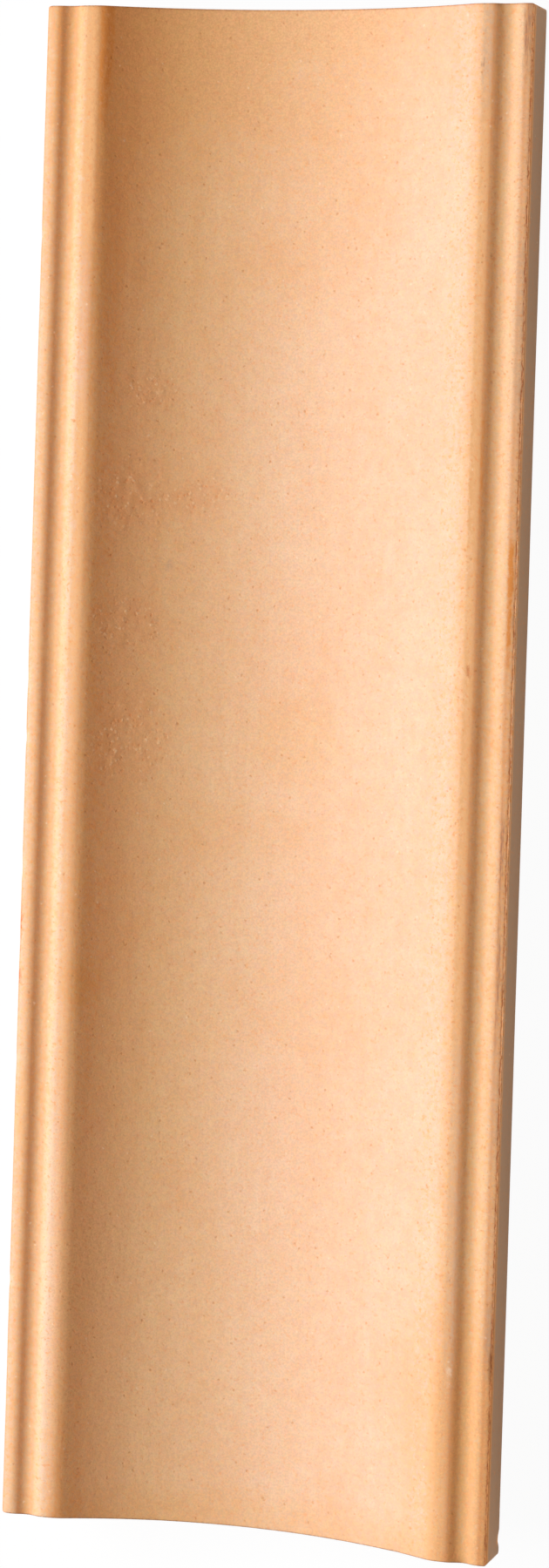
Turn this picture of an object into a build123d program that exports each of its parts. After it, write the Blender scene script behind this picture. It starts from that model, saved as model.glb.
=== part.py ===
from math import sqrt
from build123d import *
import os

# Clay roof tile, pressed out as one length of a moulded section, cut square and fired.
# It lies hollow side up: X across, Y along, Z up, origin under the middle of its belly.
# All lengths are in millimetres.

# Overall size
tile_length = 500.0
tile_width = 166.0
wall = 14.0

# Water channel between the two ridges
trough_depth = 15.5

# Rim moulding, with its places measured in from the tile's outer side
ridge_inset = 15.4
ridge_flat = 2.4
ridge_radius = 10.5
groove_inset = 8.8
groove_depth = 1.15
bead_inset = 3.3
bead_height = 1.0
bead_shoulder = 0.6

# Straight outer side, down to the level seat under each rim
side_height = 16.15

# Edges
arris_radius = 0.5
lower_edge_radius = 1.0
seat_blend_radius = 12.0
end_radius = 0.6

# Section points of the right half, from the middle outwards
half_width = tile_width / 2
ridge_inner_x = half_width - ridge_inset - ridge_flat / 2
ridge_outer_x = half_width - ridge_inset + ridge_flat / 2
groove_x = half_width - groove_inset
bead_x = half_width - bead_inset

crown_z = wall + trough_depth
groove_z = crown_z - groove_depth
bead_z = groove_z + bead_height
arris_z = bead_z - bead_shoulder
seat_z = arris_z - side_height

trough_floor = Vector(0, wall)
ridge_inner = Vector(ridge_inner_x, crown_z)
ridge_outer = Vector(ridge_outer_x, crown_z)
groove_floor = Vector(groove_x, groove_z)
bead_top = Vector(bead_x, bead_z)
arris = Vector(half_width, arris_z)
lower_edge = Vector(half_width, seat_z)
belly_floor = Vector(0, 0)

# The trough and the inside of the ridge are two arcs that share their tangent and are
# level at the far ends, which fixes the sum of their radii.
trough_radius = (ridge_inner_x**2 + trough_depth**2) / (2 * trough_depth) - ridge_radius
trough_share = trough_radius / (trough_radius + ridge_radius)

# The belly is struck from the trough's centre, one wall further out, up to the seat.
belly_radius = trough_radius + wall
seat_corner = Vector(sqrt(2 * belly_radius * seat_z - seat_z**2), seat_z)

level = (1, 0)


def reverse_curve(start, end, share=0.5):
    """Two tangent arcs, level at both ends, that meet at a share of the chord."""
    first = TangentArc(start, start + (end - start) * share, tangent=level)
    TangentArc(first @ 1, end, tangent=first % 1)


def corners_at(sketch, point):
    """The sketch's corners at a point of its right half and at the mirror image."""
    places = (point, Vector(-point.X, point.Y))
    return [sketch.vertices().sort_by_distance(place)[0] for place in places]


os.makedirs("parts", exist_ok=True)

with BuildPart() as roof_tile:
    with BuildSketch(Plane.XZ) as section:
        with BuildLine():
            reverse_curve(trough_floor, ridge_inner, trough_share)
            Line(ridge_inner, ridge_outer)
            reverse_curve(ridge_outer, groove_floor)
            reverse_curve(groove_floor, bead_top)
            TangentArc(bead_top, arris, tangent=level)
            Polyline(arris, lower_edge, seat_corner)
            TangentArc(belly_floor, seat_corner, tangent=level)
            mirror(about=Plane.YZ)
        make_face()
        fillet(corners_at(section, arris), arris_radius)
        fillet(corners_at(section, lower_edge), lower_edge_radius)
        fillet(corners_at(section, seat_corner), seat_blend_radius)
    extrude(amount=tile_length / 2, both=True)
    cut_ends = roof_tile.faces().filter_by(Axis.Y)
    fillet(cut_ends.edges(), end_radius)

roof_tile.part.label = "roof_tile"
export_step(roof_tile.part, "parts/roof_tile.step")
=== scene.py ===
import math
from collections import namedtuple

import bpy
import numpy as np
from bpy.props import FloatProperty, FloatVectorProperty, IntProperty, PointerProperty
from mathutils import Matrix, Vector, noise


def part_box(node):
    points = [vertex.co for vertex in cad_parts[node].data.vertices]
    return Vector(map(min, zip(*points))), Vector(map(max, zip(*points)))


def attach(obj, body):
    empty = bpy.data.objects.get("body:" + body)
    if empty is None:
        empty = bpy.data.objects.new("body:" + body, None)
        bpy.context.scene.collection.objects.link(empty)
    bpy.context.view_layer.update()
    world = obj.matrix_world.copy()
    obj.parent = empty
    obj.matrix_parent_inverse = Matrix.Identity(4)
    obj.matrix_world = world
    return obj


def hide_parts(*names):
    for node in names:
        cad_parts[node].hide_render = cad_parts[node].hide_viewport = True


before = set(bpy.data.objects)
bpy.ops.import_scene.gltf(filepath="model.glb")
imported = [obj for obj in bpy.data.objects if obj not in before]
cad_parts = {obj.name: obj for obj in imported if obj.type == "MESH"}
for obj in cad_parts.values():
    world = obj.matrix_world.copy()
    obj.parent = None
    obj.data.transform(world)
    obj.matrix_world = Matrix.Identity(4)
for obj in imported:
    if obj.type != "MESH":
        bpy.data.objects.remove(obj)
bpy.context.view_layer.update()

bl_info = {
    "name": "Clay Roof Tile",
    "version": (1, 0, 0),
    "blender": (4, 5, 0),
    "location": "View3D > Sidebar > Roof Tile",
    "description": "Dresses the pressed clay channel tile and sets it in a plain studio",
    "category": "Object",
}

TILE_NODE = "roof_tile"
CLAY_SLOT = "fired_clay"
MM = 0.001
LEFT, RIGHT = -1, 1

tile_low, tile_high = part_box(TILE_NODE)
HALF_WIDTH = tile_high.x
HALF_LENGTH = tile_high.y
CROWN_Z = tile_high.z


# Properties a user would change

def length(name, text, metres):
    return FloatProperty(name=name, description=text, default=metres, min=0.0, precision=5, unit="LENGTH")


def tint(name, text, rgb):
    return FloatVectorProperty(
        name=name, description=text, default=rgb, size=3, min=0.0, max=1.0, subtype="COLOR"
    )


def factor(name, text, value):
    return FloatProperty(name=name, description=text, default=value, min=0.0, max=1.0, subtype="FACTOR")


def watts(name, text, value):
    return FloatProperty(name=name, description=text, default=value, min=0.0, unit="POWER")


class TileSection(bpy.types.PropertyGroup):
    """Sizes of the moulded section, as in the solid"""

    wall: length("Wall", "Clay between the trough and the belly", 0.014)
    trough_depth: length("Trough depth", "Trough floor below the ridge crowns", 0.0155)
    ridge_inset: length("Ridge inset", "Middle of the ridge in from the outer side", 0.0154)
    ridge_flat: length("Ridge flat", "Width of the ridge's level top", 0.0024)
    ridge_radius: length("Ridge radius", "Rounding of the ridge's inner shoulder", 0.0105)
    groove_inset: length("Groove inset", "Groove floor in from the outer side", 0.0088)
    groove_depth: length("Groove depth", "Groove floor below the ridge", 0.00115)
    bead_inset: length("Bead inset", "Bead top in from the outer side", 0.0033)
    bead_height: length("Bead height", "Bead top above the groove floor", 0.001)
    bead_shoulder: length("Bead shoulder", "Fall of the bead to the outer side", 0.0006)
    side_height: length("Side height", "Straight outer side", 0.01615)
    arris_radius: length("Arris radius", "Rounding of the upper outer edge", 0.0005)
    lower_edge_radius: length("Lower edge radius", "Rounding of the lower outer edge", 0.001)
    seat_blend_radius: length("Seat blend radius", "Hollow between the seat and the belly", 0.012)
    end_radius: length("End radius", "Rounding of the cut ends", 0.0006)


class ClayRelief(bpy.types.PropertyGroup):
    """Unevenness pressed, rubbed and knocked into the clay"""

    sag: length("Sag", "Depth of the slow unevenness of the faces", 0.00012)
    crumb_height: length("Crumb height", "Height of the torn crumbs in the trough", 0.00006)
    crumb_radius: length("Crumb radius", "Size of the torn crumbs", 0.0009)
    chip_depth: length("Chip depth", "Depth of the deepest knocks along the edges", 0.0003)
    lip_height: length("Lip height", "Height of the ragged lip along the right edge", 0.00015)
    corner_radius: length("Corner radius", "Wear of the four outer corners", 0.0014)
    fine_step: length("Fine step", "Mesh spacing over the rims and crumbs", 0.00075)
    plain_step: length("Plain step", "Mesh spacing elsewhere on the upper side", 0.0019)
    under_step: length("Under step", "Mesh spacing on the underside", 0.004)
    seed: IntProperty(name="Seed", description="Draw of the crumbs and chips", default=7, min=0)


class ClayFinish(bpy.types.PropertyGroup):
    """Colours of the fired clay"""

    clay: tint("Clay", "Main colour", (0.83, 0.557, 0.391))
    wash: tint("Wash", "Share of the clay's colour left in the kiln's deeper clouds", (0.95, 0.82, 0.62))
    pink: tint("Pink", "Share of the clay's colour left in pinker mottles", (1.0, 0.93, 0.955))
    golden: tint("Golden", "Share of the clay's colour left in golden mottles", (0.985, 1.0, 0.925))
    greyed: tint("Greyed", "Dull colour of the outer sides", (0.48, 0.33, 0.225))
    rubbed: tint("Rubbed", "Orange where the ridges were rubbed", (0.77, 0.42, 0.185))
    lilac: tint("Lilac", "Dull pink on the ridges", (0.72, 0.43, 0.30))
    burnt: tint("Burnt", "Deep orange beside the ridges", (0.76, 0.29, 0.07))
    scuffed: tint("Scuffed", "Grey tan where the crowns were scuffed", (0.66, 0.43, 0.27))
    # Also painted shade along the near cut end
    stain_and_end_shade: tint("Stained", "Dark purple brown on the beads", (0.31, 0.13, 0.085))
    # Also painted shade in the score line along the right edge
    rust_and_crease_shade: tint("Rust", "Red brown along sharp edges", (0.52, 0.17, 0.06))
    speck: tint("Speck", "Orange red specks", (0.78, 0.32, 0.12))
    pit: tint("Pit", "Red brown pits", (0.56, 0.22, 0.07))
    smudge: tint("Smudge", "Grey smudge in the trough", (0.33, 0.27, 0.23))
    crumb: tint("Crumb", "Straw crumbs in the trough", (0.98, 0.69, 0.40))
    # Also painted highlight along the lip of the right edge
    pale_grain_and_lip_highlight: tint("Pale grain", "Cream sand grains", (0.97, 0.80, 0.58))


class StudioLight(bpy.types.PropertyGroup):
    """Lamps and floor"""

    key_power: watts("Key power", "Long lamp on the left", 56.5)
    fill_power: watts("Fill power", "Warm lamp overhead", 1.5)
    side_power: watts("Side power", "Lamp on the right", 2.1)
    low_power: watts("Low power", "Strip lamp near the floor on the right", 0.7)
    side_colour: tint("Side colour", "Colour of the lamp on the right", (1.0, 0.75, 0.5))
    fill_colour: tint("Fill colour", "Colour of the lamp overhead", (1.0, 0.35, 0.14))
    ambient: factor("Ambient", "Light from all round", 0.03)
    floor_white: factor("Floor white", "Share of plain white in what the camera sees of the floor", 0.96)


# Section of the tile, in metres from the middle of its belly

class Section:
    """Heights of the tile's upper and lower faces across its width."""

    def __init__(self, sizes):
        self.sizes = sizes
        self.ridge_inner = (HALF_WIDTH - sizes.ridge_inset - sizes.ridge_flat / 2, CROWN_Z)
        self.ridge_outer = (HALF_WIDTH - sizes.ridge_inset + sizes.ridge_flat / 2, CROWN_Z)
        self.groove = (HALF_WIDTH - sizes.groove_inset, CROWN_Z - sizes.groove_depth)
        self.bead = (HALF_WIDTH - sizes.bead_inset, self.groove[1] + sizes.bead_height)
        self.trough = (0.0, CROWN_Z - sizes.trough_depth)
        self.arris_z = self.bead[1] - sizes.bead_shoulder
        self.seat_z = self.arris_z - sizes.side_height
        run, rise = self.ridge_inner[0], sizes.trough_depth
        self.trough_radius = (run**2 + rise**2) / (2 * rise) - sizes.ridge_radius
        self.belly_radius = self.trough_radius + sizes.wall
        shoulder = sizes.bead_shoulder
        self.bead_radius = (sizes.bead_inset**2 + shoulder**2) / (2 * shoulder)
        reach = self.bead_radius - sizes.arris_radius
        run = sizes.bead_inset - sizes.arris_radius
        self.arris_turn = math.asin(run / reach)
        self.arris_centre = (
            HALF_WIDTH - sizes.arris_radius,
            self.bead[1] - self.bead_radius + reach * math.cos(self.arris_turn),
        )

    @staticmethod
    def reverse_curve(x, start, end, share=0.5):
        """Heights on two tangent arcs, level at both ends, that meet at a share of the chord."""
        run, rise = end[0] - start[0], end[1] - start[1]
        both = (run**2 + rise**2) / (2 * abs(rise))
        first, second = both * share, both * (1 - share)
        way = math.copysign(1.0, rise)
        leaving = start[1] + way * (first - np.sqrt(np.maximum(first**2 - (x - start[0]) ** 2, 0)))
        arriving = end[1] - way * (second - np.sqrt(np.maximum(second**2 - (x - end[0]) ** 2, 0)))
        return np.where(x < start[0] + run * share, leaving, arriving)

    def upper(self, x):
        """Height of the upper face, from arris to arris."""
        out = np.abs(x)
        share = self.trough_radius / (self.trough_radius + self.sizes.ridge_radius)
        trough = self.reverse_curve(out, self.trough, self.ridge_inner, share)
        ridge = self.reverse_curve(out, self.ridge_outer, self.groove)
        groove = self.reverse_curve(out, self.groove, self.bead)
        fall = np.sqrt(np.maximum(self.bead_radius**2 - (out - self.bead[0]) ** 2, 0))
        bead = self.bead[1] - self.bead_radius + fall
        ends = (self.ridge_inner, self.ridge_outer, self.groove, self.bead)
        stretches = [out < end[0] for end in ends]
        return np.select(stretches, [trough, np.full_like(out, CROWN_Z), ridge, groove], bead)

    def lower(self, x):
        """Height of the underside: the belly, the hollow beside it and the level seats."""
        out = np.abs(x)
        hollow = self.sizes.seat_blend_radius
        both = self.belly_radius + hollow
        centre_x = math.sqrt(both**2 - (both - self.seat_z) ** 2)
        meet_x = centre_x * self.belly_radius / both
        belly = self.belly_radius - np.sqrt(self.belly_radius**2 - np.minimum(out, meet_x) ** 2)
        blend = self.seat_z - hollow + np.sqrt(np.maximum(hollow**2 - (out - centre_x) ** 2, 0))
        return np.select([out < meet_x, out < centre_x], [belly, blend], self.seat_z)

    def outline(self, columns, under_columns, side_steps=10, corner_steps=4):
        """Closed loop of points: over the top left to right, down the side, back underneath and up."""
        top = np.stack([columns, self.upper(columns)], 1)
        under = np.stack([under_columns, self.lower(under_columns)], 1)[::-1]
        edge, low = self.sizes.arris_radius, self.sizes.lower_edge_radius
        turn = np.linspace(self.arris_turn, math.pi / 2, corner_steps + 1)
        arris = np.stack(
            [self.arris_centre[0] + edge * np.sin(turn), self.arris_centre[1] + edge * np.cos(turn)], 1
        )
        turn = np.linspace(math.pi / 2, math.pi, corner_steps + 1)
        corner = np.stack(
            [HALF_WIDTH - low + low * np.sin(turn), self.seat_z + low + low * np.cos(turn)], 1
        )
        drop = np.linspace(arris[-1][1], corner[0][1], side_steps + 1)[1:-1]
        side = np.stack([np.full_like(drop, HALF_WIDTH), drop], 1)
        right = np.concatenate([arris, side, corner])
        left = right[::-1] * (-1, 1)
        return np.concatenate([top, right, under, left])

    @property
    def top_reach(self):
        """How far out the upper face runs before the arris turns down."""
        return self.bead[0] + self.bead_radius * math.sin(self.arris_turn)


def spaced(start, end, step):
    """Even places from start up to, but without, end."""
    count = max(2, math.ceil((end - start) / step))
    return np.linspace(start, end, count, endpoint=False)


# Torn, crumbly patches of the trough, in metres: middle, half size across and along, and number of crumbs
Patch = namedtuple("Patch", "x y half_x half_y crumbs")
CRUMB_PATCHES = (
    Patch(-0.0445, 0.123, 0.010, 0.007, 45),
    Patch(-0.050, 0.089, 0.013, 0.012, 120),
    Patch(-0.029, 0.089, 0.010, 0.006, 30),
    Patch(-0.050, 0.047, 0.012, 0.009, 60),
    Patch(-0.048, 0.008, 0.014, 0.015, 110),
)

# Knocks, in metres: how far below the crowns the upper edges lie, and the reach in from edges and ends
EDGE_DROP = 0.0006
EDGE_KNOCK = 0.001
END_KNOCK = 0.0011

# Notch knocked out of the lower right edge, in metres: its place, and its reach across, along and up
NOTCH_PLACE = (HALF_WIDTH, -0.2445, 0.0126)
NOTCH_REACH = (0.003, 0.0013, 0.004)

# Lip along the upper right edge and the score line beside it, in metres: inset from the side and half width
LIP_INSET, LIP_HALF = 0.0002, 0.00018
SCORE_INSET, SCORE_HALF = 0.0007, 0.00025
LIP_ZONE = 0.0015
LIP_STRETCH = 0.13


def skin_columns(section, relief):
    """Places across the upper face: close together over the rims and the crumbs."""
    rim = section.ridge_inner[0] - section.sizes.ridge_radius / 2
    crumbs_end = max(p.x + p.half_x for p in CRUMB_PATCHES)
    fine, plain = relief.fine_step, relief.plain_step
    parts = [
        spaced(-section.top_reach, crumbs_end, fine),
        spaced(crumbs_end, rim, plain),
        spaced(rim, section.top_reach - 2 * fine, fine),
        spaced(section.top_reach - 2 * fine, section.top_reach, fine / 4),
    ]
    return np.concatenate(parts)


def skin_rows(relief, end_radius, end_steps=4):
    """Places along the tile with the inset of the section there: rounded ends, close rows at crumbs."""
    corner = HALF_LENGTH - 2 * relief.corner_radius
    marks = [-HALF_LENGTH + end_radius, -corner]
    for low, high in sorted((p.y - p.half_y, p.y + p.half_y) for p in CRUMB_PATCHES):
        if low > marks[-1]:
            marks += [low, high]
        else:
            marks[-1] = max(high, marks[-1])
    marks += [corner, HALF_LENGTH - end_radius]
    rows = []
    for count, (start, end) in enumerate(zip(marks, marks[1:])):
        rows.append(spaced(start, end, relief.plain_step if count % 2 else relief.fine_step))
    rows = np.append(np.concatenate(rows), marks[-1])
    turn = np.linspace(0, math.pi / 2, end_steps + 1)[1:]
    round_y = HALF_LENGTH - end_radius * (1 - np.sin(turn))
    round_inset = end_radius * (1 - np.cos(turn))
    along = np.concatenate([-round_y[::-1], rows, round_y])
    inset = np.concatenate([round_inset[::-1], np.zeros(len(rows)), round_inset])
    return along, inset


def outward(loop):
    """Unit normals of a closed loop of points that runs clockwise."""
    along = np.roll(loop, -1, 0) - np.roll(loop, 1, 0)
    normal = np.stack([-along[:, 1], along[:, 0]], 1)
    return normal / np.linalg.norm(normal, axis=1, keepdims=True)


def slow_noise(points, size, offset):
    """Smooth noise from 0 to 1 over points, with lumps of a size."""
    shift = Vector((offset, offset, offset))
    return np.array([0.5 + 0.5 * noise.noise(Vector(p) / size + shift) for p in points])


def crumb_relief(points, relief, draw):
    """Height of the torn crumbs over the trough."""
    height = np.zeros(len(points))
    for patch in CRUMB_PATCHES:
        near = np.abs(points[:, 0] - patch.x) < 1.3 * patch.half_x
        near &= (np.abs(points[:, 1] - patch.y) < 1.3 * patch.half_y) & (points[:, 2] > CROWN_Z / 2)
        spots = points[near]
        raised = np.zeros(len(spots))
        for _ in range(patch.crumbs):
            x = patch.x + patch.half_x * np.clip(draw.normal(0, 0.45), -1.1, 1.1)
            y = patch.y + patch.half_y * np.clip(draw.normal(0, 0.45), -1.1, 1.1)
            radius = relief.crumb_radius * draw.uniform(0.7, 1.6)
            tall = relief.crumb_height * draw.uniform(-0.6, 1.0)
            away = ((spots[:, 0] - x) ** 2 + (spots[:, 1] - y) ** 2) / radius**2
            raised += tall * np.exp(-away)
        height[near] += raised
    return height


def chip_relief(points, relief, draw, count=30):
    """Depth of knocks along the upper outer edges and the cut ends, and of the notch."""
    depth = np.zeros(len(points))
    for _ in range(count):
        side = draw.choice((LEFT, RIGHT))
        y = draw.uniform(-HALF_LENGTH, HALF_LENGTH)
        spread = draw.uniform(0.0012, 0.0035)
        deep = relief.chip_depth * draw.uniform(0.15, 1.0) ** 2
        edge = np.hypot(points[:, 0] - side * HALF_WIDTH, points[:, 2] - (CROWN_Z - EDGE_DROP))
        depth += deep * np.exp(-(((points[:, 1] - y) / spread) ** 2) - (edge / EDGE_KNOCK) ** 2)
    for _ in range(count):
        end = draw.choice((-1, 1))
        x = draw.uniform(-HALF_WIDTH, HALF_WIDTH)
        spread = draw.uniform(0.001, 0.003)
        deep = relief.chip_depth * draw.uniform(0.1, 1.0) ** 2
        edge = np.abs(points[:, 1] - end * HALF_LENGTH) / END_KNOCK
        upper = points[:, 2] > CROWN_Z / 2
        depth += upper * deep * np.exp(-(((points[:, 0] - x) / spread) ** 2) - edge**2)
    away = (points - NOTCH_PLACE) / NOTCH_REACH
    depth += 2 * relief.chip_depth * np.exp(-(away**2).sum(1))
    return depth


def lip_relief(points, relief):
    """Height of the ragged lip along the upper right edge, and the score line beside it."""
    height = np.zeros(len(points))
    inset = HALF_WIDTH - points[:, 0]
    near = (inset < LIP_ZONE) & (points[:, 2] > CROWN_Z - LIP_ZONE)
    along = points[near] * (0, 1, 0)
    ragged = np.clip(2.2 * slow_noise(along, 0.0045, 5.3) - 0.5, 0.1, 1.0)
    inset = inset[near] - 0.0004 * (slow_noise(along, 0.007, 2.9) - 0.5)
    strong = 0.35 + 0.65 * np.exp(-((points[near, 1] / LIP_STRETCH) ** 4))
    lip = strong * ragged * np.exp(-(((inset - LIP_INSET) / LIP_HALF) ** 2))
    score = np.exp(-(((inset - SCORE_INSET) / SCORE_HALF) ** 2))
    height[near] = relief.lip_height * (lip - 0.12 * score)
    return height


def skin_mesh(sizes, relief):
    """The tile's whole surface as one closed mesh, uneven, crumbly and chipped, inside the solid's box."""
    section = Section(sizes)
    columns = skin_columns(section, relief)
    under_reach = HALF_WIDTH - sizes.lower_edge_radius
    under = spaced(-under_reach, under_reach, relief.under_step)[1:]
    loop = section.outline(columns[1:], under)
    normals = outward(loop)
    along, inset = skin_rows(relief, sizes.end_radius)
    rows, around = len(along), len(loop)
    flat = loop[None, :, :] - inset[:, None, None] * normals[None, :, :]
    points = np.empty((rows, around, 3))
    points[:, :, 0] = flat[:, :, 0]
    points[:, :, 1] = along[:, None]
    points[:, :, 2] = flat[:, :, 1]
    points = points.reshape(-1, 3)
    draw = np.random.default_rng(relief.seed)
    sunk = relief.sag * slow_noise(points, 0.045, 3.1)
    sunk += 0.35 * relief.sag * slow_noise(points * (1, 0.15, 1), 0.006, 8.7)
    sunk += chip_relief(points, relief, draw)
    sunk -= crumb_relief(points, relief, draw) + lip_relief(points, relief)
    push = np.tile(normals, (rows, 1)) * sunk[:, None]
    points[:, 0] -= push[:, 0]
    points[:, 2] -= push[:, 1]
    points = np.clip(points, np.array(tile_low), np.array(tile_high))
    corner = relief.corner_radius
    past = np.maximum(np.abs(points[:, 1]) - (HALF_LENGTH - corner), 0)
    reach = HALF_WIDTH - corner + np.sqrt(corner**2 - past**2)
    points[:, 0] = np.clip(points[:, 0], -reach, reach)
    grid = np.arange(rows * around).reshape(rows, around)
    beside = np.roll(grid, -1, 1)
    quads = np.stack([grid[:-1], grid[1:], beside[1:], beside[:-1]], -1).reshape(-1, 4)
    faces = quads.tolist() + [grid[0].tolist(), grid[-1][::-1].tolist()]
    mesh = bpy.data.meshes.new("tile_skin")
    mesh.from_pydata(points.tolist(), [], faces)
    mesh.validate()
    mesh.shade_smooth()
    return mesh


# Shader maths

class Wire:
    """A socket of a node tree. Arithmetic on it adds Math nodes, and node() adds any other."""

    def __init__(self, tree, socket=None):
        self.tree = tree
        self.socket = socket

    def node(self, kind, settings=None, sockets=None, output=0):
        """A new node of a kind: its settings come first, then the values or links of its sockets."""
        made = self.tree.nodes.new(kind)
        for name, value in (settings or {}).items():
            if name == "stops":
                self.set_stops(made.color_ramp.elements, value)
            else:
                setattr(made, name, value)
        for name, value in (sockets or {}).items():
            if isinstance(value, Wire):
                self.tree.links.new(value.socket, made.inputs[name])
            else:
                made.inputs[name].default_value = value
        return Wire(self.tree, made.outputs[output] if len(made.outputs) else None)

    @staticmethod
    def set_stops(elements, stops):
        """Gives a colour ramp its stops, each a place from 0 to 1 and a colour."""
        elements[0].position, elements[-1].position = stops[0][0], stops[-1][0]
        for place, _ in stops[1:-1]:
            elements.new(place)
        for element, (_, colour) in zip(elements, stops):
            element.color = (*colour, 1.0)

    def math(self, operation, *values):
        return self.node("ShaderNodeMath", {"operation": operation}, dict(enumerate(values)))

    def __add__(self, other):
        return self.math("ADD", self, other)

    __radd__ = __add__

    def __sub__(self, other):
        return self.math("SUBTRACT", self, other)

    def __rsub__(self, other):
        return self.math("SUBTRACT", other, self)

    def __mul__(self, other):
        return self.math("MULTIPLY", self, other)

    __rmul__ = __mul__

    def __truediv__(self, other):
        return self.math("DIVIDE", self, other)

    def __abs__(self):
        return self.math("ABSOLUTE", self)

    def most(self, other):
        """The larger of two values."""
        return self.math("MAXIMUM", self, other)

    def smooth(self, start, end):
        """0 at start rising softly to 1 at end, which may lie below start."""
        sockets = {"Value": self, "From Min": start, "From Max": end}
        return self.node("ShaderNodeMapRange", {"interpolation_type": "SMOOTHSTEP"}, sockets)

    def near(self, centre, half, soft):
        """1 within half of a centre, falling to 0 over a soft edge."""
        return abs(self - centre).smooth(half + soft, half - soft)

    def times(self, by):
        """A vector or colour multiplied part by part."""
        return self.node("ShaderNodeVectorMath", {"operation": "MULTIPLY"}, {0: self, 1: by})

    def moved(self, by):
        """A place shifted by a vector."""
        return self.node("ShaderNodeVectorMath", {"operation": "ADD"}, {0: self, 1: by})

    def noise(self, size, detail=2.0, roughness=0.5):
        """Noise from about 0 to 1 with lumps of a size, at this place."""
        sockets = {"Vector": self, "Scale": 1 / size, "Detail": detail, "Roughness": roughness}
        return self.node("ShaderNodeTexNoise", None, sockets)

    def dots(self, spacing, radius):
        """1 in round grains scattered about a spacing apart, 0 between them."""
        sockets = {"Vector": self, "Scale": 1 / spacing}
        away = self.node("ShaderNodeTexVoronoi", None, sockets, "Distance")
        return away.smooth(radius / spacing, 0.2 * radius / spacing)

    def tinted(self, colour, amount):
        """This colour turned towards another by an amount from 0 to 1."""
        if not isinstance(colour, Wire):
            colour = (*colour, 1.0)
        settings = {"data_type": "RGBA", "clamp_factor": True}
        return self.node("ShaderNodeMix", settings, {0: amount, 6: self, 7: colour}, 2)

    def scaled(self, amount):
        """This colour made lighter or darker by a factor."""
        return self.node("ShaderNodeVectorMath", {"operation": "SCALE"}, {0: self, "Scale": amount})


# Painted shade and highlight: how much of the clay's colour shows at places of the moulding, by inset from
# the outer side in millimetres
# Its darker and lighter bands follow how the light falls on each slope, so the left and right tables differ
PaintedShading = namedtuple("PaintedShading", "place inset share")
LEFT_PAINTED_SHADING = (
    PaintedShading("outer edge", 0.0, (0.84, 0.62, 0.53)),
    PaintedShading("bead shoulder", 1.0, (0.90, 0.85, 0.86)),
    PaintedShading("bead crown", 3.2, (0.91, 0.86, 0.72)),
    PaintedShading("bead slope", 5.6, (0.78, 0.58, 0.38)),
    PaintedShading("groove", 8.8, (0.87, 0.80, 0.63)),
    PaintedShading("ridge foot", 10.4, (0.90, 0.76, 0.64)),
    PaintedShading("ridge flank", 13.8, (0.98, 1.05, 1.07)),
    PaintedShading("ridge crown", 17.0, (0.90, 0.78, 0.61)),
    PaintedShading("ridge shoulder", 19.0, (0.87, 0.72, 0.49)),
    PaintedShading("trough edge", 21.0, (1.04, 0.88, 0.58)),
    PaintedShading("trough slope", 24.0, (0.97, 0.78, 0.51)),
    PaintedShading("trough side", 45.0, (1.01, 0.96, 0.74)),
    PaintedShading("trough floor", 83.0, (0.98, 1.00, 0.98)),
)
RIGHT_PAINTED_SHADING = (
    PaintedShading("outer edge", 0.0, (1.12, 0.91, 0.62)),
    PaintedShading("bead shoulder", 1.5, (1.13, 1.03, 0.80)),
    PaintedShading("outer slope", 2.7, (0.99, 0.81, 0.60)),
    PaintedShading("bead crown", 3.8, (1.03, 1.02, 0.89)),
    PaintedShading("bead foot", 6.0, (0.93, 0.87, 0.74)),
    PaintedShading("groove", 8.8, (0.87, 0.82, 0.62)),
    PaintedShading("ridge foot", 11.6, (1.03, 0.88, 0.61)),
    PaintedShading("ridge flank", 13.3, (0.88, 0.69, 0.47)),
    PaintedShading("ridge crown", 15.4, (1.05, 0.95, 0.73)),
    PaintedShading("ridge shoulder", 17.0, (1.08, 1.04, 0.88)),
    PaintedShading("trough edge", 21.0, (0.92, 0.88, 0.92)),
    PaintedShading("trough side", 40.0, (0.92, 0.95, 1.01)),
    PaintedShading("trough floor", 83.0, (0.98, 1.00, 0.98)),
)

# Clouds from the kiln, deeper or, below 0, paler, in millimetres: middle, half sizes, and amount
Wash = namedtuple("Wash", "x y half_x half_y amount")
WASHES = (
    Wash(-25, 270, 100, 150, 0.6),
    Wash(-25, 264, 85, 40, 0.55),
    Wash(-62, 195, 12, 90, 0.25),
    Wash(-63, -150, 14, 75, -0.3),
    Wash(88, -255, 48, 100, 0.65),
    Wash(70, -195, 36, 40, 0.3),
    Wash(0, -257, 120, 24, 0.5),
    Wash(6, 10, 24, 20, 0.35),
    Wash(-12, -20, 34, 14, 0.2),
    Wash(-62, -72, 9, 11, 0.45),
    Wash(14, -78, 60, 20, 0.12),
    Wash(-50, -195, 34, 85, -0.3),
    Wash(-5, -125, 26, 45, -0.15),
    Wash(78, 165, 6, 140, -0.4),
    Wash(-25, 190, 45, 30, -0.2),
)

# The one grey smudge in the trough, in millimetres: its middle, and the height of the trough's floor
SMUDGE_X, SMUDGE_Y = -38, 66
TROUGH_FLOOR = 14
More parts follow.
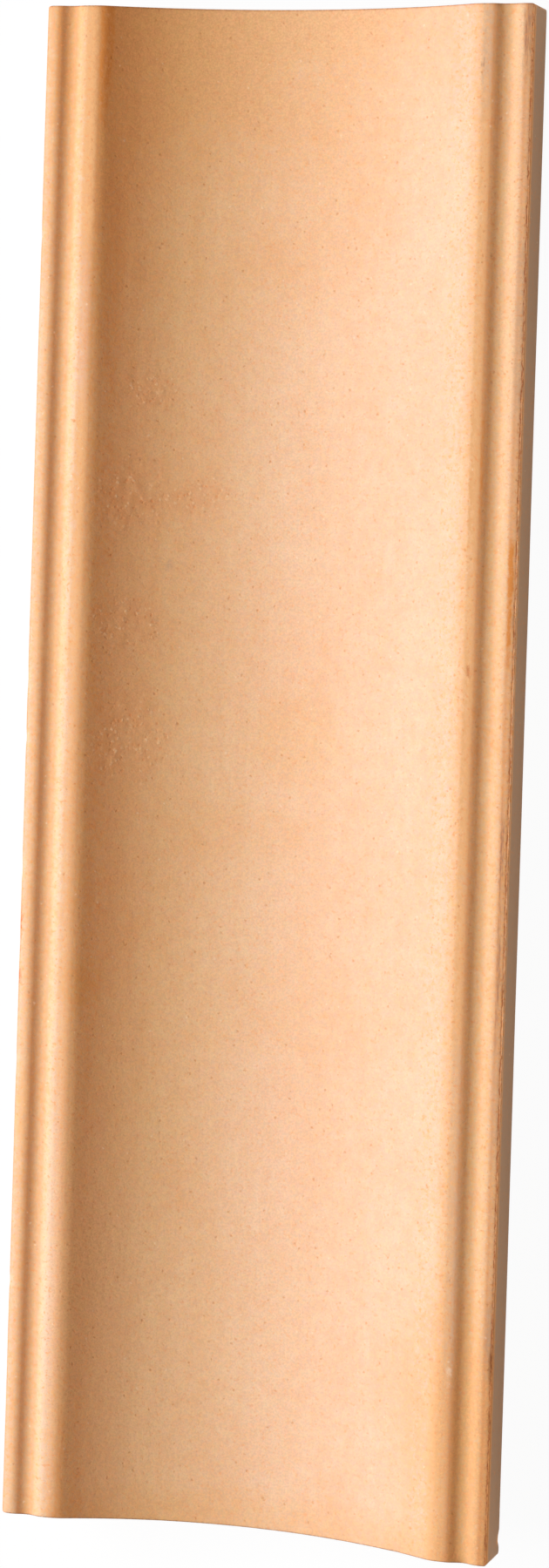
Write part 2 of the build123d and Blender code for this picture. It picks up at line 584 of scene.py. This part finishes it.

# Marks of handling on the rims, and painted shade in the right score line, in millimetres: widest soft
# edges, then inset, half width, from and to along
SOFT_ACROSS, SOFT_ALONG = 0.7, 9.0
Mark = namedtuple("Mark", "finish side inset half start end amount")
RIM_MARKS = (
    Mark("burnt", LEFT, 21.1, 1.9, 225, 253, 1.6),
    Mark("burnt", LEFT, 20.6, 1.3, 211, 229, 0.9),
    Mark("burnt", LEFT, 20.0, 1.1, -253, -211, 0.4),
    Mark("rubbed", LEFT, 16.35, 2.1, 172, 253, 1.1),
    Mark("lilac", LEFT, 16.3, 1.7, 118, 168, 0.35),
    Mark("rubbed", LEFT, 16.35, 2.1, 84, 122, 1.0),
    Mark("rubbed", LEFT, 16.35, 2.0, 30, 84, 0.7),
    Mark("rubbed", LEFT, 16.6, 2.1, -112, 30, 0.4),
    Mark("rubbed", LEFT, 9.5, 8.5, 33, 47, 0.3),
    Mark("burnt", LEFT, 4.6, 0.6, 218, 253, 0.5),
    Mark("burnt", LEFT, 7.6, 0.8, 206, 236, 0.35),
    Mark("rubbed", LEFT, 2.8, 2.2, -126, -106, 0.7),
    Mark("scuffed", LEFT, 2.8, 2.2, -253, -243, 0.6),
    Mark("rust_and_crease_shade", LEFT, 0.5, 0.6, -61, -48, 0.8),
    Mark("rust_and_crease_shade", LEFT, 0.5, 0.6, -74, -69, 0.8),
    Mark("rust_and_crease_shade", LEFT, 0.1, 0.3, -253, 253, 0.5),
    Mark("scuffed", RIGHT, 15.3, 1.7, 219, 253, 0.85),
    Mark("stain_and_end_shade", RIGHT, 16.5, 0.5, 229, 233, 0.6),
    Mark("rubbed", RIGHT, 15.1, 1.7, 117, 221, 0.75),
    Mark("rubbed", RIGHT, 15.1, 1.75, 79, 119, 1.4),
    Mark("burnt", RIGHT, 12.9, 0.5, 83, 119, 0.8),
    Mark("rubbed", RIGHT, 15.1, 1.7, 41, 80, 0.6),
    Mark("rubbed", RIGHT, 15.1, 1.7, -17, 41, 0.95),
    Mark("rust_and_crease_shade", RIGHT, 15.2, 0.6, 33, 37, 0.7),
    Mark("rubbed", RIGHT, 15.1, 1.7, -85, -17, 0.8),
    Mark("scuffed", RIGHT, 14.75, 1.25, -34, -28, 0.4),
    Mark("scuffed", RIGHT, 14.75, 1.6, -190, -83, 0.5),
    Mark("scuffed", RIGHT, 14.75, 1.6, -253, -190, 0.25),
    Mark("pale_grain_and_lip_highlight", RIGHT, 14.2, 0.8, -192, -188, 0.4),
    Mark("scuffed", RIGHT, 13.0, 1.0, -187, -130, 0.35),
    Mark("rubbed", RIGHT, 19.0, 2.0, -253, -189, 0.55),
    Mark("stain_and_end_shade", RIGHT, 2.2, 1.1, 228, 253, 0.6),
    Mark("scuffed", RIGHT, 1.85, 1.4, 117, 173, 0.6),
    Mark("rubbed", RIGHT, 1.85, 1.4, 82, 119, 0.3),
    Mark("burnt", RIGHT, 2.3, 0.7, 59, 76, 2.0),
    Mark("burnt", RIGHT, 2.3, 0.6, 40, 60, 1.5),
    Mark("stain_and_end_shade", RIGHT, 2.3, 0.5, -30, -8, 0.7),
    Mark("stain_and_end_shade", RIGHT, 2.3, 0.5, -84, -33, 0.6),
    Mark("scuffed", RIGHT, 1.85, 1.2, -119, -82, 0.45),
    Mark("scuffed", RIGHT, 1.7, 1.1, -186, -164, 0.7),
    Mark("stain_and_end_shade", RIGHT, 1.7, 1.1, -184, -168, 0.2),
    # Partly red-brown colour, partly painted shade: the dark line in the score along the right edge
    Mark("rust_and_crease_shade", RIGHT, 0.7, 0.22, -253, 253, 1.0),
)


def washed(x, y):
    """How deep the kiln's clouds lie here."""
    total = 0.0
    for wash in WASHES:
        across, along = (x - wash.x) / wash.half_x, (y - wash.y) / wash.half_y
        total = (across * across + along * along).smooth(1.0, 0.0) * wash.amount + total
    return total


def painted_shading_at(inset, shading_table):
    """How much of the clay's colour shows at an inset from the outer side, as painted shade and highlight.
    """
    reach = shading_table[-1].inset
    stops = [(painted_shading.inset / reach, painted_shading.share) for painted_shading in shading_table]
    return inset.node("ShaderNodeValToRGB", {"stops": stops}, {0: inset / reach})


def marked(finish, x, y):
    """How strongly the rims carry the marks of one finish."""
    total = 0.0
    for mark in (m for m in RIM_MARKS if m.finish == finish):
        middle = mark.side * (HALF_WIDTH / MM - mark.inset)
        half_along = (mark.end - mark.start) / 2
        across = x.near(middle, mark.half, min(SOFT_ACROSS, 0.8 * mark.half))
        along = y.near((mark.start + mark.end) / 2, half_along, min(SOFT_ALONG, 0.7 * half_along))
        total = across * along * mark.amount + total
    return total


def torn(x, y):
    """How strongly the clay is torn into crumbs here."""
    total = 0.0
    for patch in CRUMB_PATCHES:
        across, along = (x - patch.x / MM) / (patch.half_x / MM), (y - patch.y / MM) / (patch.half_y / MM)
        total = (across * across + along * along).smooth(1.6, 0.1) + total
    return total


def fired_clay(finish):
    """Matt sandy clay with painted shade and highlight on the moulding: clouded colour, pits and grains,
    rubbed crowns, scuffs and burnt edges.
    """
    material = bpy.data.materials.new(CLAY_SLOT)
    material.use_nodes = True
    tree = material.node_tree
    tree.nodes.clear()
    at = Wire(tree).node("ShaderNodeTexCoord", output="Object")
    at = at.times((1 / MM, 1 / MM, 1 / MM))
    x, y, z = (at.node("ShaderNodeSeparateXYZ", None, {0: at}, axis) for axis in "XYZ")
    half_width, half_length, crown_z = HALF_WIDTH / MM, HALF_LENGTH / MM, CROWN_Z / MM
    rims = z.smooth(crown_z - 5.0, crown_z - 3.0)
    topside = z.smooth(TROUGH_FLOOR - 1, TROUGH_FLOOR)

    # Clouds, grain, pits and torn crumbs, with lumps from 34 mm down to 0.7 mm
    cloud = at.noise(34, 3.0)
    mottle = at.moved((31, 7, 0)).noise(5.0, 3.0, 0.6)
    grit = at.noise(1.8, 2.0, 0.6)
    grain = at.moved((5, 0, 9)).noise(0.7, 2.0, 0.6)
    blush = at.moved((17, 2, 5)).noise(1.9, 3.0, 0.7) + (mottle - 0.5) * 0.4
    straw = at.moved((4, 21, 8)).noise(2.3, 3.0, 0.7) - (cloud - 0.5) * 0.5
    streak = at.times((1, 0.02, 1)).noise(1.4, 2.0)
    drag = at.moved((0, 80, 0)).times((1, 0.05, 1)).noise(4.0, 2.0)
    shaken = at.node("ShaderNodeTexNoise", None, {"Vector": at, "Scale": 1.1, "Detail": 2.0}, "Color")
    shaken = at.moved(shaken.scaled(1.1))
    pits = shaken.dots(4.2, 0.6)
    specks = at.moved((9, 4, 2)).noise(1.2, 2.0, 0.5).smooth(0.56, 0.74)
    grains = shaken.moved((3, 8, 5)).dots(6.0, 0.55)
    patchy = 0.3 + 0.7 * at.times((1, 0.6, 1)).noise(1.5, 3.0, 0.75).smooth(0.38, 0.62)
    smeared = 0.2 + 0.8 * at.times((1, 0.1, 1)).noise(0.9, 3.0, 0.65).smooth(0.38, 0.62)
    wander_x = x + (at.moved((0, 0, 40)).noise(2.5, 2.0) - 0.5) * 1.1
    wander_y = y + (at.moved((0, 0, 70)).noise(4.0, 2.0) - 0.5) * 14.0
    ragged = torn(x, y) * (0.3 + 0.7 * at.moved((7, 3, 0)).noise(4.0, 2.0).smooth(0.35, 0.6))
    crumbs = shaken.moved((2, 6, 1)).dots(2.1, 0.75) * ragged
    tears = shaken.moved((6, 1, 4)).dots(1.9, 0.8) * ragged

    # Colour, from the clay with its painted shade and highlight up to its marks and single grains
    inset = half_width - abs(x)
    right = x.math("GREATER_THAN", x, 0.0)
    # Painted shade and highlight by inset, one table for the left side and one for the right
    painted_shading = painted_shading_at(inset, LEFT_PAINTED_SHADING).tinted(painted_shading_at(inset, RIGHT_PAINTED_SHADING), right)
    colour = painted_shading.times(finish.clay)
    depth = 0.35 + washed(x, y)
    depth = depth + (cloud - 0.5) * 0.85 + (mottle - 0.5) * 0.65 + (drag - 0.5) * 0.25
    depth = depth + ((grit - 0.5) * 0.8 + (grain - 0.5) * 0.9) * (1.0 + 2.2 * rims)
    colour = colour.tinted(colour.times(finish.wash), depth)
    colour = colour.tinted(colour.times(finish.pink), blush.smooth(0.3, 0.7))
    colour = colour.tinted(colour.times(finish.golden), straw.smooth(0.3, 0.7))
    colour = colour.scaled(0.9 + 0.05 * grit.smooth(0.3, 0.7) + 0.15 * grain.smooth(0.3, 0.7))
    side = inset.smooth(0.5, 0.1) * z.smooth(crown_z - 0.6, crown_z - 3.5)
    colour = colour.tinted(finish.greyed, side * 0.9)
    for name in ("rubbed", "lilac", "burnt", "scuffed", "stain_and_end_shade", "rust_and_crease_shade", "pale_grain_and_lip_highlight"):
        broken = smeared if name == "stain_and_end_shade" else patchy
        amount = marked(name, wander_x, wander_y) * broken * rims
        colour = colour.tinted(getattr(finish, name), amount)
    # Painted highlight: pale dashes along the raised lip of the right edge, in the cream grain colour
    lip = x.near(half_width - 0.2, 0.22, 0.1) * z.smooth(crown_z - 1.5, crown_z - 1.1)
    highlight_dashes = at.times((0.1, 1, 0.1)).noise(1.6, 2.0).smooth(0.42, 0.5)
    colour = colour.tinted(finish.pale_grain_and_lip_highlight, lip * highlight_dashes * y.near(0, 110, 40) * 0.25)
    colour = colour.tinted(finish.rust_and_crease_shade, y.smooth(half_length - 0.8, half_length - 0.2) * patchy * 0.6)
    # Painted shade: a dark line along the near cut end, in the stain colour
    colour = colour.tinted(finish.stain_and_end_shade, y.smooth(0.6 - half_length, 0.2 - half_length) * patchy * 0.8)
    flecks = (specks * (0.38 + 0.3 * rims)).most(tears * 0.9).most(ragged * 0.26)
    colour = colour.tinted(finish.speck, flecks)
    colour = colour.tinted(finish.pit, pits * 0.55)
    colour = colour.tinted(finish.crumb, crumbs * 0.6)
    smudge = wander_x.near(SMUDGE_X, 1.0, 1.2) * y.near(SMUDGE_Y, 1.2, 1.5) * topside
    colour = colour.tinted(finish.smudge, smudge * 0.3)
    colour = colour.tinted(finish.pale_grain_and_lip_highlight, grains * 0.3)

    # Fine relief in millimetres
    height = grain * 0.032 + grit * 0.026 + mottle * 0.05 + streak * 0.01
    height = height - pits * 0.03 - specks * 0.015 + grains * 0.02 + crumbs * 0.035 - tears * 0.035
    normal = at.node("ShaderNodeBump", None, {"Strength": 1.0, "Distance": MM, "Height": height})
    sockets = {
        "Base Color": colour,
        "Roughness": 0.8 + 0.14 * grit,
        "Specular IOR Level": 0.2,
        "Normal": normal,
    }
    shader = at.node("ShaderNodeBsdfPrincipled", None, sockets)
    at.node("ShaderNodeOutputMaterial", None, {"Surface": shader})
    return material


# Stage, with lamps in metres: place, then length and breadth

WHITE = (1, 1, 1, 1)
PAPER = (0.86, 0.86, 0.86, 1)
FLOOR_HALF = 4.0
KEY_PLACE, KEY_SIZE = (-1.334, 0, 0.883), (1.8, 0.5)
FILL_PLACE, FILL_SIZE = (0, 0, 1.4), (1.0, 0.6)
SIDE_PLACE, SIDE_SIZE = (1.2, 0, 0.15), (1.2, 0.2)
LOW_PLACE, LOW_SIZE = (0.6, 0, 0.014), (1.6, 0.02)


def seen_directly(start):
    """1 for rays that show the stage itself, 0 for the light that it throws on the tile."""
    kinds = ("Camera", "Glossy", "Transmission")
    rays = [start.node("ShaderNodeLightPath", output=f"Is {kind} Ray") for kind in kinds]
    return rays[0].most(rays[1]).most(rays[2])


def floor_material(studio):
    """White floor that still takes the tile's shadow."""
    material = bpy.data.materials.new("studio_floor")
    material.use_nodes = True
    tree = material.node_tree
    tree.nodes.clear()
    start = Wire(tree)
    paper = start.node("ShaderNodeBsdfDiffuse", None, {"Color": PAPER})
    white = start.node("ShaderNodeEmission", None, {"Color": WHITE, "Strength": 1.0})
    amount = seen_directly(start) * studio.floor_white
    both = start.node("ShaderNodeMixShader", None, {0: amount, 1: paper, 2: white})
    start.node("ShaderNodeOutputMaterial", None, {"Surface": both})
    return material


def studio_world(studio):
    """White to look at, dim as light."""
    world = bpy.data.worlds.new("studio")
    world.use_nodes = True
    tree = world.node_tree
    tree.nodes.clear()
    start = Wire(tree)
    light = start.node("ShaderNodeBackground", None, {"Color": WHITE, "Strength": studio.ambient})
    white = start.node("ShaderNodeBackground", None, {"Color": WHITE, "Strength": 1.0})
    both = start.node("ShaderNodeMixShader", None, {0: seen_directly(start), 1: light, 2: white})
    start.node("ShaderNodeOutputWorld", None, {"Surface": both})
    return world


def add_lamp(name, place, target, size, power, colour=(1, 1, 1)):
    """A rectangular lamp at a place, turned to a target and unseen by the camera."""
    data = bpy.data.lights.new(name, "AREA")
    data.shape = "RECTANGLE"
    data.size, data.size_y = size
    data.energy = power
    data.color = colour
    lamp = bpy.data.objects.new(name, data)
    lamp.visible_camera = False
    lamp.location = place
    lamp.rotation_euler = (Vector(target) - Vector(place)).to_track_quat("-Z", "Y").to_euler()
    bpy.context.scene.collection.objects.link(lamp)


# Camera of the photograph: place in metres, turns in degrees, lens and the sensor's tall side in millimetres
CAMERA_PLACE = (0.3981, 0.0942, 1.2955)
CAMERA_TURNS = (("Y", 17.41), ("X", -0.31), ("Z", 1.78))
CAMERA_LENS = 93.7
CAMERA_SENSOR = 36.0
CAMERA_SHIFT_Y = -0.1777


def add_camera():
    """The camera that sees the tile as the photograph does."""
    data = bpy.data.cameras.new("photo_camera")
    data.sensor_width = CAMERA_SENSOR
    data.lens = CAMERA_LENS
    data.shift_y = CAMERA_SHIFT_Y
    data.clip_start, data.clip_end = 0.05, 50.0
    camera = bpy.data.objects.new("photo_camera", data)
    turn = Matrix.Identity(4)
    for axis, degrees in CAMERA_TURNS:
        turn = turn @ Matrix.Rotation(math.radians(degrees), 4, axis)
    camera.matrix_world = Matrix.Translation(CAMERA_PLACE) @ turn
    bpy.context.scene.collection.objects.link(camera)
    bpy.context.scene.camera = camera


# Operators, panel and registration

class ROOF_TILE_OT_dress_tile(bpy.types.Operator):
    """Press the uneven clay skin over the solid tile and give it its fired finish"""

    bl_idname = "roof_tile.dress_tile"
    bl_label = "Dress Tile"

    def execute(self, context):
        scene = context.scene
        skin = bpy.data.objects.new("tile_skin", skin_mesh(scene.tile_section, scene.clay_relief))
        scene.collection.objects.link(skin)
        skin.data.materials.append(fired_clay(scene.clay_finish))
        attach(skin, "root")
        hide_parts(TILE_NODE)
        return {"FINISHED"}


class ROOF_TILE_OT_set_stage(bpy.types.Operator):
    """Lay the white floor and set the lamps, the world and the camera"""

    bl_idname = "roof_tile.set_stage"
    bl_label = "Set Stage"

    def execute(self, context):
        scene = context.scene
        studio = scene.studio_light
        half = FLOOR_HALF
        corners = [(-half, -half, 0), (half, -half, 0), (half, half, 0), (-half, half, 0)]
        mesh = bpy.data.meshes.new("studio_floor")
        mesh.from_pydata(corners, [], [(0, 1, 2, 3)])
        floor = bpy.data.objects.new("studio_floor", mesh)
        floor.data.materials.append(floor_material(studio))
        scene.collection.objects.link(floor)
        middle = (0, 0, CROWN_Z / 2)
        level = (0, 0, LOW_PLACE[2])
        add_lamp("key_lamp", KEY_PLACE, middle, KEY_SIZE, studio.key_power)
        add_lamp("fill_lamp", FILL_PLACE, middle, FILL_SIZE, studio.fill_power, studio.fill_colour)
        add_lamp("side_lamp", SIDE_PLACE, middle, SIDE_SIZE, studio.side_power, studio.side_colour)
        add_lamp("low_lamp", LOW_PLACE, level, LOW_SIZE, studio.low_power)
        scene.world = studio_world(studio)
        scene.view_settings.view_transform = "Standard"
        add_camera()
        return {"FINISHED"}


class ROOF_TILE_PT_panel(bpy.types.Panel):
    """Clay roof tile settings"""

    bl_idname = "ROOF_TILE_PT_panel"
    bl_label = "Clay Roof Tile"
    bl_space_type = "VIEW_3D"
    bl_region_type = "UI"
    bl_category = "Roof Tile"

    def draw(self, context):
        for name, group in GROUPS.items():
            box = self.layout.box()
            box.label(text=group.__doc__)
            for field in group.__annotations__:
                box.prop(getattr(context.scene, name), field)
        for operator in OPERATORS:
            self.layout.operator(operator.bl_idname)


GROUPS = {
    "tile_section": TileSection,
    "clay_relief": ClayRelief,
    "clay_finish": ClayFinish,
    "studio_light": StudioLight,
}
OPERATORS = (ROOF_TILE_OT_dress_tile, ROOF_TILE_OT_set_stage)


def register():
    for group in (*GROUPS.values(), *OPERATORS, ROOF_TILE_PT_panel):
        bpy.utils.register_class(group)
    for name, group in GROUPS.items():
        setattr(bpy.types.Scene, name, PointerProperty(type=group))


def unregister():
    for name in GROUPS:
        delattr(bpy.types.Scene, name)
    for group in (ROOF_TILE_PT_panel, *reversed(OPERATORS), *GROUPS.values()):
        bpy.utils.unregister_class(group)


def main():
    register()
    bpy.ops.roof_tile.dress_tile()
    bpy.ops.roof_tile.set_stage()


if __name__ == "__main__":
    main()
